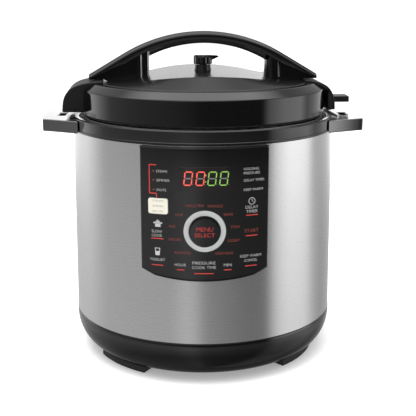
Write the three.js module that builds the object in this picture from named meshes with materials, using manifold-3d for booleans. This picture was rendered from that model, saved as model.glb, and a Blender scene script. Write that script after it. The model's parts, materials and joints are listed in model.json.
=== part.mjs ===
// Electric pressure cooker, about 11 litres: base with a steel shell and control panel, removable
// inner pot, and a bayonet lid with an arched carrying handle, a pressure valve and a float valve.
// Millimetres, +Z up. Origin: centre of the footprint, on the table. The panel faces -Y and the two
// side handles lie along X.
import * as THREE from 'three';
import { mergeVertices } from 'three/addons/utils/BufferGeometryUtils.js';
import Module from 'manifold-3d';

const wasm = await Module();
wasm.setup();

// ---------------------------------------------------------------- driving dimensions
const GAP = 0.3;                 // clearance between touching pieces

const SHELL_BOTTOM_Z = 52;
const SHELL_TOP_Z = 280;
const SHELL_BOTTOM_R = 161.2;    // the shell has a very slight draft
const SHELL_TOP_R = 159.4;
const SHELL_WALL = 1.0;

const BASE_R = 161.6;            // top of the moulded base
const BASE_SOLE_R = 128;         // where its round flank reaches the underside
const BASE_SOLE_Z = 5.5;
const BASE_WALL = 3;

const FOOT_SPREAD = 53;          // degrees either side of the feet's own axis
const FOOT_TURN = 6;             // that axis, turned from the panel's axis
const FOOT_HALF_ANGLE = 16.5;
const FOOT_INNER_R = 119;
const FOOT_OUTER_R = 141;

const COLLAR_R = 161;
const COLLAR_TOP_Z = 296;
const COLLAR_WELL_R = 152.6;     // inside of the collar, around the pot flange
const COLLAR_LEDGE_R = 148;

const EAR_BOTTOM_Z = 277.5;
const EAR_TOP_Z = 293.5;
const EAR_TIP_R = 197;
const EAR_ROOT_HALF = 66;        // half depth where the ear meets the collar
const EAR_TIP_HALF = 43;
const SLOT_X = 174;              // slot that the lid's parking tab drops into
const SLOT_WIDTH = 8.6;
const SLOT_LENGTH = 28;

const LUG_COUNT = 6;
const LUG_HALF_ANGLE = 12;
const OUTER_POT_R = 147;
const OUTER_POT_FLOOR_Z = 66;
const OUTER_POT_TOP_Z = 294.5;
const FLANGE_LUG_R = 141;
const FLANGE_LUG_Z = 291.5;

const POT_R = 135.5;
const POT_WALL = 1.5;
const POT_FLOOR_Z = 84;
const POT_RIM_R = 140.3;
const POT_RIM_Z = 284.5;

const LID_TURN = 3;              // degrees that the closed lid stands past the side handles
const SKIRT_R = 149;
const SKIRT_BOTTOM_Z = 299;
const SKIRT_TOP_Z = 327.2;
const LEDGE_R = 136;
const LEDGE_Z = 334.7;
const LID_WALL = 2.6;

const CROWN_R = 128;             // arched top cover of the lid
const CROWN_Z = 354;
const CROWN_ARCH_R = 480;        // side to side
const CROWN_DOME_R = 3413;       // front to back
const CROWN_FOOT_Z = 330.5;

const STEEL_LID_R = 139.3;
const STEEL_LID_Z = 296;
const STEEL_LID_T = 1.5;
const LID_LUG_R = 144.3;
const LID_LUG_Z = 287.5;

const HANDLE_HALF_WIDTH = 16;    // half of its depth, front to back
const HANDLE_END_X = 139;
const HANDLE_TOP_Z = 395.1;
const HANDLE_TOP_R = 190;
const HANDLE_TOP_ANGLE = 32;     // degrees of arc each side before the straight ends
const HANDLE_UNDER_Z = 380.9;
const HANDLE_UNDER_R = 149;
const GRIP_LINE_Z = 384.5;       // arc that parts the handle from its lower grip
const GRIP_LINE_R = 172;
const OPENING_LEFT_X = -66;      // finger opening between the two posts
const OPENING_RIGHT_X = 76;

const WING_HALF_WIDTH = 35;
const LEFT_WING_X = 167.9;
const RIGHT_WING_X = 159.2;
const TAB_Z = 302.8;
const TAB_THICKNESS = 7.9;
const TAB_TIP_X = 187.5;

const VALVE_R = 11.5;
const VALVE_Z = 354.9;
const VALVE_HEIGHT = 11.4;
const FLOAT_X = -95;
const FLOAT_Y = 38;

const PANEL_R = 161.9;           // back of the fascia, just clear of the shell
const PANEL_THICKNESS = 1.7;
const PANEL_HALF_ANGLE = 25.8;
const PANEL_BOTTOM_Z = 127.5;
const PANEL_CORNER_Z = 139.5;
const RING_Z = 185.7;

// ---------------------------------------------------------------- materials
const paint = (color, roughness, metalness) =>
  new THREE.MeshStandardMaterial({ color, roughness, metalness });
const BLACK_GLOSS = paint(0x161617, 0.18, 0);
const BLACK_SATIN = paint(0x1b1b1c, 0.45, 0);
const BRUSHED_STEEL = paint(0xb9b9bb, 0.32, 1);
const POT_STEEL = paint(0xc8c8ca, 0.25, 1);
const ALUMINIUM = paint(0xa9abad, 0.45, 1);
const NONSTICK = paint(0x35363a, 0.5, 0.2);
const SILICONE = paint(0xd9d8d2, 0.6, 0);
const RUBBER = paint(0x141414, 0.85, 0);
const FASCIA = paint(0x0b0b0d, 0.12, 0);
const LENS = paint(0x1b0d0c, 0.08, 0);
const SILVER = paint(0xb9bcbd, 0.3, 0.8);
const CREAM = paint(0xd4d0c0, 0.5, 0);
const BOARD = paint(0x1d5a34, 0.6, 0);
const BRASS = paint(0xb08d4a, 0.35, 1);
const RED = paint(0xa8201c, 0.5, 0);

// ---------------------------------------------------------------- geometry helpers
const rad = (degrees) => degrees * Math.PI / 180;

// Solid of revolution about Z. The profile's points are (radius, height), and it starts and ends
// on the axis or closes on itself. A profile that runs the wrong way is turned round.
function lathe(points, segments = 56) {
  let area = 0;
  points.forEach(([r, z], i) => {
    const [r2, z2] = points[(i + 1) % points.length];
    area += r * z2 - r2 * z;
  });
  const ordered = area > 0 ? points : [...points].reverse();
  const onAxis = ordered[0][0] === 0 && ordered.at(-1)[0] === 0;
  const profile = ordered.map(([r, z]) => new THREE.Vector2(r, z));
  if (!onAxis) profile.push(profile[0].clone());
  return new THREE.LatheGeometry(profile, segments).rotateX(Math.PI / 2);
}

function cylinder(radius, z0, z1, segments = 24, x = 0, y = 0) {
  const profile = [[0, z0], [radius, z0], [radius, z1], [0, z1]];
  return lathe(profile, segments).translate(x, y, 0);
}

function tube(inner, outer, z0, z1, segments = 56) {
  return lathe([[inner, z0], [outer, z0], [outer, z1], [inner, z1]], segments);
}

function box(x0, x1, y0, y1, z0, z1) {
  const size = new THREE.BoxGeometry(x1 - x0, y1 - y0, z1 - z0);
  return size.translate((x0 + x1) / 2, (y0 + y1) / 2, (z0 + z1) / 2);
}

// Outline in X and Y, raised from z0 to z1.
function plate(shape, z0, z1, curveSegments = 12) {
  const settings = { depth: z1 - z0, bevelEnabled: false, curveSegments };
  return new THREE.ExtrudeGeometry(shape, settings).translate(0, 0, z0);
}

// Outline in X and Z, spread evenly to both sides of Y = 0.
function sidePlate(shape, halfWidth, curveSegments = 12) {
  const settings = { depth: 2 * halfWidth, bevelEnabled: false, curveSegments };
  return new THREE.ExtrudeGeometry(shape, settings).rotateX(Math.PI / 2).translate(0, halfWidth, 0);
}

// Part of a flat ring between two angles, measured from +X, in degrees.
function sector(inner, outer, fromAngle, toAngle, z0, z1) {
  const shape = new THREE.Shape();
  shape.absarc(0, 0, outer, rad(fromAngle), rad(toAngle), false);
  shape.absarc(0, 0, inner, rad(toAngle), rad(fromAngle), true);
  return plate(shape, z0, z1, 6);
}

function toSolid(geometry) {
  const bare = geometry.clone();
  bare.deleteAttribute('normal');
  bare.deleteAttribute('uv');
  const merged = mergeVertices(bare, 1e-4);
  const mesh = new wasm.Mesh({
    numProp: 3,
    vertProperties: new Float32Array(merged.attributes.position.array),
    triVerts: new Uint32Array(merged.index.array),
  });
  return new wasm.Manifold(mesh);
}

function fromSolid(solid) {
  const mesh = solid.getMesh();
  const geometry = new THREE.BufferGeometry();
  geometry.setAttribute('position', new THREE.BufferAttribute(new Float32Array(mesh.vertProperties), 3));
  geometry.setIndex(new THREE.BufferAttribute(new Uint32Array(mesh.triVerts), 1));
  geometry.computeVertexNormals();
  return geometry;
}

const join = (first, ...others) =>
  fromSolid(others.reduce((solid, other) => solid.add(toSolid(other)), toSolid(first)));
const cut = (first, ...others) =>
  fromSolid(others.reduce((solid, other) => solid.subtract(toSolid(other)), toSolid(first)));

// Wraps a piece made flat (x along the arc, y outwards, z up) round the shell's front at a radius.
// Turning outwards into -Y mirrors the piece, so its triangles are turned round too.
function wrap(geometry, radius) {
  const place = geometry.attributes.position;
  for (let i = 0; i < place.count; i += 1) {
    const angle = place.getX(i) / radius;
    const reach = radius + place.getY(i);
    place.setXYZ(i, reach * Math.sin(angle), -reach * Math.cos(angle), place.getZ(i));
  }
  geometry.index.array.reverse();
  return geometry;
}

// Slab on the shell's front between two angles from -Y, with its lower edge given by a function.
function curvedSlab(fromAngle, toAngle, inner, outer, lowEdge, topZ, columns) {
  const corners = [];
  for (let i = 0; i <= columns; i += 1) {
    const angle = fromAngle + (toAngle - fromAngle) * i / columns;
    const low = lowEdge(angle);
    for (const [r, z] of [[outer, low], [outer, topZ], [inner, topZ], [inner, low]]) {
      corners.push(r * Math.sin(rad(angle)), -r * Math.cos(rad(angle)), z);
    }
  }
  const faces = [0, 1, 2, 0, 2, 3];
  for (let i = 0; i < columns; i += 1) {
    const here = 4 * i;
    const next = here + 4;
    for (let k = 0; k < 4; k += 1) {
      const k2 = (k + 1) % 4;
      faces.push(here + k, next + k, next + k2, here + k, next + k2, here + k2);
    }
  }
  const last = 4 * columns;
  faces.push(last, last + 2, last + 1, last, last + 3, last + 2);
  const geometry = new THREE.BufferGeometry();
  geometry.setAttribute('position', new THREE.Float32BufferAttribute(corners, 3));
  geometry.setIndex(faces);
  geometry.computeVertexNormals();
  return geometry;
}

const product = new THREE.Group();
const lid = new THREE.Group();
lid.rotation.z = rad(LID_TURN);
product.add(lid);

function add(name, geometry, material, group = product) {
  const mesh = new THREE.Mesh(geometry, material);
  mesh.name = name;
  group.add(mesh);
  return mesh;
}

// ---------------------------------------------------------------- base
// Round flank: a quarter ellipse from the shell's foot to the sole, moved in by an offset.
function flank(offset, steps) {
  const shoulderZ = SHELL_BOTTOM_Z - 5;
  return Array.from({ length: steps + 1 }, (_, i) => {
    const angle = Math.PI / 2 * i / steps;
    const reach = (BASE_R - BASE_SOLE_R) * Math.sin(angle);
    const drop = (shoulderZ - BASE_SOLE_Z) * Math.cos(angle);
    return [BASE_SOLE_R + reach - offset, shoulderZ - drop + (i === 0 ? Math.max(offset, 0) : 0)];
  });
}

const socketBox = { x: 16, z0: 60, z1: 86, y0: 148, y1: 163.6, depth: 12.5 };
const socketHole = box(-socketBox.x - GAP, socketBox.x + GAP, 130, 170, socketBox.z0 - GAP,
  socketBox.z1 + GAP);

function outerShell() {
  const body = lathe([
    [SHELL_BOTTOM_R - SHELL_WALL, SHELL_BOTTOM_Z + GAP], [SHELL_BOTTOM_R, SHELL_BOTTOM_Z + GAP],
    [SHELL_TOP_R, SHELL_TOP_Z - GAP], [SHELL_TOP_R - SHELL_WALL, SHELL_TOP_Z - GAP],
  ]);
  return cut(body, socketHole);
}

function baseShell() {
  const outside = flank(0, 6);
  const inside = flank(BASE_WALL, 4).reverse();
  return lathe([
    ...outside, [BASE_R, SHELL_BOTTOM_Z], [BASE_R - BASE_WALL, SHELL_BOTTOM_Z], ...inside,
    [FOOT_INNER_R - 1, BASE_SOLE_Z + BASE_WALL], [FOOT_INNER_R - 1, BASE_SOLE_Z],
  ]);
}

function bottomCover() {
  const radius = FOOT_INNER_R - 1 - GAP;
  const disc = cylinder(radius, BASE_SOLE_Z + 0.5, BASE_SOLE_Z + 2.5, 48);
  const vents = [-2, -1, 0, 1, 2].map((i) => box(-30, 30, i * 16 - 3, i * 16 + 3, 0, 20));
  return cut(disc, ...vents);
}

function foot(angle) {
  const pad = sector(FOOT_INNER_R, FOOT_OUTER_R, angle - FOOT_HALF_ANGLE, angle + FOOT_HALF_ANGLE, 0, 12);
  const base = lathe([
    [0, BASE_SOLE_Z - GAP], [BASE_SOLE_R, BASE_SOLE_Z - GAP], ...flank(-GAP, 6).slice(1),
    [BASE_R + GAP, SHELL_BOTTOM_Z], [0, SHELL_BOTTOM_Z],
  ]);
  return cut(pad, base);
}

function collarRing() {
  return lathe([
    [COLLAR_R, SHELL_TOP_Z], [COLLAR_R, COLLAR_TOP_Z - 2], [COLLAR_R - 2, COLLAR_TOP_Z],
    [COLLAR_WELL_R, COLLAR_TOP_Z - 1.6], [COLLAR_WELL_R, SHELL_TOP_Z + 5],
    [COLLAR_LEDGE_R, SHELL_TOP_Z + 5], [COLLAR_LEDGE_R, SHELL_TOP_Z],
  ]);
}

// Side handle: a flat plate that tapers to a rounded tip, with the slot for the lid's tab.
function ear(side) {
  const root = COLLAR_R + GAP;
  const rootAngle = Math.asin(EAR_ROOT_HALF / root);
  const tipAngle = Math.asin(EAR_TIP_HALF / EAR_TIP_R);
  const corner = 5;
  const shape = new THREE.Shape();
  shape.moveTo(root * Math.cos(rootAngle), -EAR_ROOT_HALF);
  shape.lineTo(EAR_TIP_R * Math.cos(tipAngle) - corner, -EAR_TIP_HALF - 1.5);
  shape.absarc(0, 0, EAR_TIP_R, -tipAngle + 0.01, tipAngle - 0.01, false);
  shape.lineTo(EAR_TIP_R * Math.cos(tipAngle) - corner, EAR_TIP_HALF + 1.5);
  shape.lineTo(root * Math.cos(rootAngle), EAR_ROOT_HALF);
  shape.absarc(0, 0, root, rootAngle, -rootAngle, true);
  const slot = new THREE.Path();
  slot.moveTo(SLOT_X - SLOT_WIDTH / 2, -SLOT_LENGTH / 2);
  slot.lineTo(SLOT_X + SLOT_WIDTH / 2, -SLOT_LENGTH / 2);
  slot.lineTo(SLOT_X + SLOT_WIDTH / 2, SLOT_LENGTH / 2);
  slot.lineTo(SLOT_X - SLOT_WIDTH / 2, SLOT_LENGTH / 2);
  shape.holes.push(slot);
  const geometry = plate(shape, EAR_BOTTOM_Z, EAR_TOP_Z, 14);
  return side > 0 ? geometry : geometry.rotateZ(Math.PI);
}

// Pressure vessel that holds the inner pot. Its rim carries the inward lugs that hold the lid down.
function outerPot() {
  const wall = lathe([
    [OUTER_POT_R - 1.5, OUTER_POT_FLOOR_Z + 1.5], [60, OUTER_POT_FLOOR_Z + 1.5], [60, OUTER_POT_FLOOR_Z],
    [OUTER_POT_R, OUTER_POT_FLOOR_Z], [OUTER_POT_R, SHELL_TOP_Z + 5 + GAP],
    [COLLAR_WELL_R - GAP, SHELL_TOP_Z + 5 + GAP], [COLLAR_WELL_R - GAP, SHELL_TOP_Z + 6.8],
    [OUTER_POT_R, SHELL_TOP_Z + 6.8], [OUTER_POT_R, OUTER_POT_TOP_Z],
    [OUTER_POT_R - 1.5, OUTER_POT_TOP_Z],
  ]);
  const lugs = Array.from({ length: LUG_COUNT }, (_, i) => {
    const angle = LID_TURN + i * 360 / LUG_COUNT;
    const half = LUG_HALF_ANGLE + 2;
    return sector(FLANGE_LUG_R, OUTER_POT_R - 0.5, angle - half, angle + half, FLANGE_LUG_Z, OUTER_POT_TOP_Z);
  });
  return join(wall, ...lugs);
}

function heatingPlate() {
  const top = POT_FLOOR_Z - GAP;
  return lathe([
    [17, OUTER_POT_FLOOR_Z + 2], [58, OUTER_POT_FLOOR_Z + 2], [58, top - 9],
    [98, top - 6], [98, top], [17, top],
  ], 40);
}

function innerPot() {
  return lathe([
    [0, POT_FLOOR_Z], [POT_R - 6, POT_FLOOR_Z], [POT_R, POT_FLOOR_Z + 6],
    [POT_R, POT_RIM_Z - POT_WALL], [POT_RIM_R, POT_RIM_Z - POT_WALL], [POT_RIM_R, POT_RIM_Z],
    [POT_R - POT_WALL, POT_RIM_Z], [POT_R - POT_WALL, POT_FLOOR_Z + 6.8],
    [POT_R - 6.8, POT_FLOOR_Z + POT_WALL], [0, POT_FLOOR_Z + POT_WALL],
  ]);
}

function inletSocket() {
  const { x, z0, z1, y0, y1, depth } = socketBox;
  const housing = box(-x, x, y0, y1, z0, z1);
  const recess = box(-x + 3.5, x - 3.5, y1 - depth, y1 + 5, z0 + 4, z1 - 4);
  return cut(housing, recess);
}

add('outer_shell', outerShell(), BRUSHED_STEEL);
add('base_shell', baseShell(), BLACK_GLOSS);
add('bottom_cover', bottomCover(), BLACK_SATIN);
const footAngles = [FOOT_TURN - FOOT_SPREAD, FOOT_TURN + FOOT_SPREAD].flatMap((a) => [a - 90, a + 90]);
footAngles.forEach((angle, i) => add(`foot_${i + 1}`, foot(angle), RUBBER));
add('collar_ring', collarRing(), BLACK_GLOSS);
add('side_handle_right', ear(1), BLACK_GLOSS);
add('side_handle_left', ear(-1), BLACK_GLOSS);
add('outer_pot', outerPot(), ALUMINIUM);
add('heating_plate', heatingPlate(), ALUMINIUM);
add('inlet_socket', inletSocket(), BLACK_SATIN);
[-7, 0, 7].forEach((x, i) => {
  const middle = (socketBox.z0 + socketBox.z1) / 2 + (x === 0 ? 3 : -2);
  const inner = socketBox.y1 - socketBox.depth + GAP;
  add(`inlet_pin_${i + 1}`, box(x - 1, x + 1, inner, inner + 6.5, middle - 2, middle + 2), BRASS);
});

// Spring-loaded temperature sensor in the middle of the heating plate.
add('temperature_sensor', lathe([
  [0, POT_FLOOR_Z - 11], [12, POT_FLOOR_Z - 11], [12, POT_FLOOR_Z - 2], [10.5, POT_FLOOR_Z - GAP],
  [0, POT_FLOOR_Z - GAP],
], 32), ALUMINIUM);

add('power_board', box(-45, 45, -35, 35, 22, 24), BOARD);
add('control_board', box(-42, 42, -152.4, -150.8, 140, 262), BOARD);
add('inner_pot', innerPot(), NONSTICK);

// ---------------------------------------------------------------- control panel
const panelFace = PANEL_R + PANEL_THICKNESS;
// Lower edge: level to the corners, then a slant, then a shallow curve in the middle.
function panelLowEdge(angle) {
  const bend = 20;
  const away = Math.abs(angle);
  const slantZ = 132.5;
  if (away > bend) {
    return slantZ + (PANEL_CORNER_Z - slantZ) * (away - bend) / (PANEL_HALF_ANGLE - bend);
  }
  return PANEL_BOTTOM_Z + (slantZ - PANEL_BOTTOM_Z) * (away / bend) ** 2;
}

const lensArc = { from: -28.5, to: 28.5, low: 231.5, top: 257.5 };
const modeKey = { from: -63.6, to: -40.4, low: 204.2, top: 221.6 };
const menuKeyR = 17.2;
const toAngle = (arc) => arc / panelFace * 180 / Math.PI;

// The two raised keys sink into holes in the fascia when they are pressed.
function panelFascia() {
  const slab = curvedSlab(-PANEL_HALF_ANGLE, PANEL_HALF_ANGLE, PANEL_R, panelFace, panelLowEdge,
    SHELL_TOP_Z - 1, 24);
  const modeHole = curvedSlab(toAngle(modeKey.from - GAP), toAngle(modeKey.to + GAP), PANEL_R - 5,
    panelFace + 5, () => modeKey.low - GAP, modeKey.top + GAP, 6);
  const menuHole = cylinder(menuKeyR + GAP, 0, 30, 32).rotateX(Math.PI / 2).translate(0, -140, RING_Z);
  return cut(slab, modeHole, menuHole);
}

add('panel_fascia', panelFascia(), FASCIA);
add('display_lens', curvedSlab(toAngle(lensArc.from), toAngle(lensArc.to), panelFace + 0.1,
  panelFace + 0.6, () => lensArc.low, lensArc.top, 12), LENS);

function wrappedRing(inner, outer, thickness) {
  const ring = tube(inner, outer, 0, thickness, 32).rotateX(-Math.PI / 2).translate(0, 0, RING_Z);
  return wrap(ring, panelFace + 0.1);
}
add('menu_ring', wrappedRing(17.8, 23.4, 1.4), SILVER);
const menuKey = lathe([[0, 0], [9, 0], [menuKeyR, 0], [menuKeyR, 1.4], [9, 1.9], [0, 2]], 32);
add('menu_key', wrap(menuKey.rotateX(-Math.PI / 2).translate(0, 0, RING_Z), panelFace + 0.1), FASCIA);

add('mode_key', curvedSlab(toAngle(modeKey.from), toAngle(modeKey.to), panelFace + 0.1,
  panelFace + 1.6, () => modeKey.low, modeKey.top, 6), CREAM);

// ---------------------------------------------------------------- lid, outer pieces
// Space taken by the moulded lid ring and the crown, grown by the gap: other pieces are cut to it.
const ringEnvelope = lathe([
  [0, SKIRT_BOTTOM_Z - 5], [SKIRT_R + GAP, SKIRT_BOTTOM_Z - 5], [SKIRT_R + GAP, SKIRT_TOP_Z + GAP],
  [LEDGE_R + GAP, LEDGE_Z + GAP], [CROWN_R + GAP, LEDGE_Z + GAP], [CROWN_R + GAP, 400], [0, 400],
]);

function lidRing() {
  const floorZ = SKIRT_BOTTOM_Z + 0.8;
  const floorR = 112;
  const inner = SKIRT_R - LID_WALL;
  return lathe([
    [SKIRT_R, SKIRT_BOTTOM_Z], [SKIRT_R, SKIRT_TOP_Z], [LEDGE_R, LEDGE_Z], [CROWN_R + GAP, LEDGE_Z],
    [CROWN_R + GAP, LEDGE_Z - LID_WALL], [LEDGE_R - 1, LEDGE_Z - LID_WALL], [inner, SKIRT_TOP_Z - 1.6],
    [inner, floorZ + 2.5], [floorR, floorZ + 2.5], [floorR, floorZ], [inner, floorZ],
    [inner, SKIRT_BOTTOM_Z],
  ]);
}

const crownDrop = (x, y) => x * x / (2 * CROWN_ARCH_R) + y * y / (2 * CROWN_DOME_R);

// Crown: a round cover whose top is bent down to both sides, so its wall is tallest at the front.
// It is turned with its points at three marker levels, which are then put on the arched surface.
function crown() {
  const inner = CROWN_R - LID_WALL;
  const round = 1.6;
  const [underLevel, edgeLevel, topLevel] = [390, 399, 400];
  const under = [0, 45, 90, inner].map((r) => [r, underLevel]);
  const top = [CROWN_R - round, 108, 80, 40, 0].map((r) => [r, topLevel]);
  const geometry = lathe([
    ...under, [inner, CROWN_FOOT_Z], [CROWN_R, CROWN_FOOT_Z], [CROWN_R, edgeLevel], ...top,
  ]);
  const place = geometry.attributes.position;
  for (let i = 0; i < place.count; i += 1) {
    const level = place.getZ(i);
    const surface = CROWN_Z - crownDrop(place.getX(i), place.getY(i));
    if (level === topLevel) place.setZ(i, surface);
    if (level === edgeLevel) place.setZ(i, surface - round + 0.2);
    if (level === underLevel) place.setZ(i, Math.max(surface - LID_WALL, CROWN_FOOT_Z + 0.6));
  }
  const pipeHole = cylinder(5, 300, 400, 20);
  const floatHole = cylinder(3.5, 300, 400, 16, FLOAT_X, FLOAT_Y);
  return cut(geometry, pipeHole, floatHole);
}

// Wing: the arch carried on over the lid's edge and down its side.
function wing(side) {
  const left = side < 0;
  const reach = left ? LEFT_WING_X : RIGHT_WING_X;
  const innerX = left ? 120 : SKIRT_R + 0.6;
  const rootX = 122;
  const topZ = LEDGE_Z + 2.5;
  const footZ = SKIRT_BOTTOM_Z + 2;
  const shape = new THREE.Shape();
  shape.moveTo(side * rootX, LEDGE_Z + GAP);
  shape.lineTo(side * rootX, topZ);
  shape.bezierCurveTo(side * (reach - 16), topZ - 1.2, side * (reach - 1.5), topZ - 13,
    side * reach, footZ);
  shape.lineTo(side * innerX, footZ);
  if (!left) shape.lineTo(side * innerX, SKIRT_TOP_Z - 2);
  return cut(sidePlate(shape, WING_HALF_WIDTH), ringEnvelope);
}

function parkingTab() {
  const near = WING_HALF_WIDTH + GAP;
  const blank = box(120, TAB_TIP_X, near, near + 26, TAB_Z, TAB_Z + TAB_THICKNESS);
  return cut(blank, ringEnvelope);
}

add('lid_ring', lidRing(), BLACK_GLOSS, lid);
add('lid_crown', crown(), BLACK_GLOSS, lid);
add('lid_wing_left', wing(-1), BLACK_GLOSS, lid);
add('lid_wing_right', wing(1), BLACK_GLOSS, lid);
add('parking_tab', parkingTab(), BLACK_SATIN, lid);

// ---------------------------------------------------------------- lid, handle
const arcZ = (topZ, radius, x) => topZ - radius + Math.sqrt(radius * radius - x * x);
const arcPoints = (topZ, radius, from, to, steps) =>
  Array.from({ length: steps + 1 }, (_, i) => {
    const x = from + (to - from) * i / steps;
    return [x, arcZ(topZ, radius, x)];
  });
const polygon = (points) => new THREE.Shape(points.map(([x, z]) => new THREE.Vector2(x, z)));

const arcEndX = HANDLE_TOP_R * Math.sin(rad(HANDLE_TOP_ANGLE));
const endTopZ = arcZ(HANDLE_TOP_Z, HANDLE_TOP_R, arcEndX)
  - (HANDLE_END_X - arcEndX) * Math.tan(rad(HANDLE_TOP_ANGLE));
const seatZ = (x) => Math.max(CROWN_Z - crownDrop(x, 0) + GAP + 0.1, 337.8);
const seatLine = (from, to, steps) =>
  Array.from({ length: steps + 1 }, (_, i) => from + (to - from) * i / steps).map((x) => [x, seatZ(x)]);

// The arch is full width. The webs that fill the corners under its ends are set back from it.
function handleShell() {
  const bandEndX = HANDLE_END_X - 6;
  const bandBendX = 93;
  const postDepth = 20;
  const intoArch = 3;
  const bandZ = arcZ(GRIP_LINE_Z, GRIP_LINE_R, bandBendX);
  const underArch = (x) => arcZ(GRIP_LINE_Z, GRIP_LINE_R, x) + intoArch;
  const mirror = (side) => ([x, z]) => [side * x, z];
  const arch = polygon([
    [-HANDLE_END_X, endTopZ], ...arcPoints(HANDLE_TOP_Z, HANDLE_TOP_R, -arcEndX, arcEndX, 24),
    [HANDLE_END_X, endTopZ], [HANDLE_END_X, seatZ(HANDLE_END_X)], [bandEndX, seatZ(bandEndX)],
    [bandBendX, bandZ], ...arcPoints(GRIP_LINE_Z, GRIP_LINE_R, 84, -84, 18), [-bandBendX, bandZ],
    [-bandEndX, seatZ(bandEndX)], [-HANDLE_END_X, seatZ(HANDLE_END_X)],
  ]);
  const web = (side, innerX) => polygon([
    ...seatLine(innerX, HANDLE_END_X - 2, 6), [HANDLE_END_X - 2, endTopZ - 2],
    [arcEndX, bandZ + 1.5], [innerX, underArch(innerX)],
  ].map(mirror(side)));
  const post = (side, innerX) => polygon([
    ...seatLine(innerX, innerX + postDepth, 2), [innerX + postDepth, underArch(innerX + postDepth)],
    [innerX, underArch(innerX)],
  ].map(mirror(side)));
  return join(
    sidePlate(arch, HANDLE_HALF_WIDTH),
    sidePlate(web(-1, -OPENING_LEFT_X), HANDLE_HALF_WIDTH - 4),
    sidePlate(web(1, OPENING_RIGHT_X), HANDLE_HALF_WIDTH - 4),
    sidePlate(post(-1, -OPENING_LEFT_X), HANDLE_HALF_WIDTH - 1),
    sidePlate(post(1, OPENING_RIGHT_X), HANDLE_HALF_WIDTH - 1),
  );
}

function handleGrip() {
  const from = OPENING_LEFT_X + GAP;
  const to = OPENING_RIGHT_X - GAP;
  return sidePlate(polygon([
    ...arcPoints(HANDLE_UNDER_Z, HANDLE_UNDER_R, from, to, 20),
    ...arcPoints(GRIP_LINE_Z - GAP, GRIP_LINE_R, to, from, 20),
  ]), HANDLE_HALF_WIDTH - 0.6);
}

add('handle_shell', handleShell(), BLACK_GLOSS, lid);
add('handle_grip', handleGrip(), BLACK_SATIN, lid);

// ---------------------------------------------------------------- lid, pressure pieces
const lugAngles = Array.from({ length: LUG_COUNT }, (_, i) => i * 360 / LUG_COUNT);

function steelLid() {
  const edge = STEEL_LID_R - 1.3;
  const dish = lathe([
    [0, STEEL_LID_Z], [edge, STEEL_LID_Z], [edge, LID_LUG_Z], [STEEL_LID_R, LID_LUG_Z],
    [STEEL_LID_R, STEEL_LID_Z + STEEL_LID_T], [0, STEEL_LID_Z + STEEL_LID_T],
  ]);
  const lugs = lugAngles.map((angle) => sector(edge + 0.4, LID_LUG_R,
    angle - LUG_HALF_ANGLE, angle + LUG_HALF_ANGLE, LID_LUG_Z, LID_LUG_Z + 2.5));
  const bare = join(dish, ...lugs);
  return cut(bare, cylinder(4.3, 280, 310, 20), cylinder(3.2, 280, 310, 16, FLOAT_X, FLOAT_Y));
}

add('steel_lid', steelLid(), POT_STEEL, lid);
add('sealing_ring', lathe([
  [129, 289], [131.5, 285.2], [135.4, 285.2], [137.6, 288], [137.6, 295.6], [129, 295.6],
], 48), SILICONE);
add('seal_rack', tube(126.6, 128.6, 290, 293, 48), POT_STEEL, lid);
add('exhaust_pipe', lathe([
  [1.6, 286], [6.5, 286], [6.5, 295.4], [4, 295.4], [4, 361], [1.6, 361],
], 20), BRASS, lid);
add('pipe_shield', lathe([
  [0, 282.6], [13, 282.6], [15, 284.6], [15, 295.6], [14, 295.6], [14, 285], [12.6, 283.6], [0, 283.6],
], 32), POT_STEEL, lid);

// Pressure valve: a round cap with flats on its flanks and a lever that points to one side.
function valveKnob() {
  const top = VALVE_Z + VALVE_HEIGHT;
  const cap = lathe([
    [4.4, VALVE_Z], [VALVE_R, VALVE_Z], [VALVE_R, top - 1.2], [VALVE_R - 1.2, top - 0.4], [0, top],
    [0, 361.4], [4.4, 361.4],
  ].reverse(), 16);
  const lever = polygon([
    [4, top - 1], [19.6, top - 1.6], [19.6, top - 3.2], [VALVE_R, top - 6.5], [4, top - 6.5],
  ]);
  const fin = sidePlate(lever, 2.6);
  return join(cap, fin);
}
add('pressure_valve', valveKnob(), BLACK_SATIN, lid);

const floatTop = CROWN_Z - crownDrop(FLOAT_X, FLOAT_Y) - 0.5;
add('float_valve', lathe([
  [0, 288.5], [5, 288.5], [5, 291.8], [2.6, 291.8], [2.6, floatTop], [0, floatTop],
], 20).translate(FLOAT_X, FLOAT_Y, 0), RED, lid);

export default product;
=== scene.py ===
"""Electric pressure cooker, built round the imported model.

Metres in Blender, +Z up, control panel towards -Y. The shapes below are worked out in millimetres
and scaled once, where a piece is made. Shapes on the lid are turned with it by LID_TURN.
"""
import json
import math

import bmesh
import bpy
import numpy as np
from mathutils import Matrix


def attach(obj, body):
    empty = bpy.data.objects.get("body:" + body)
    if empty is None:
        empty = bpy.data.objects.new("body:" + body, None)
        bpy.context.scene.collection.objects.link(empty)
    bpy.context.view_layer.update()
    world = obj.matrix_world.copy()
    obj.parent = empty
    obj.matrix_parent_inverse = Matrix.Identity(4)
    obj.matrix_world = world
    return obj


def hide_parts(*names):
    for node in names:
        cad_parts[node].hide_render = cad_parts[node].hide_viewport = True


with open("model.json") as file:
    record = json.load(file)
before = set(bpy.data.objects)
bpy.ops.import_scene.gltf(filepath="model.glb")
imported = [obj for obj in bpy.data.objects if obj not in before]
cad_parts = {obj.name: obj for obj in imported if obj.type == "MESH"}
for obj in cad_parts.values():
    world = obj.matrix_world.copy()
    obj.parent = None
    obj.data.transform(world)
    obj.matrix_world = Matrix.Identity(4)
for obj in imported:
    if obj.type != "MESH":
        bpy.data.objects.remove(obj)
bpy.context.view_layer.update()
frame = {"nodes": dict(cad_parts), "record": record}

MM = 0.001
LID_TURN = 3                # degrees that the closed lid stands past the side handles

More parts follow.
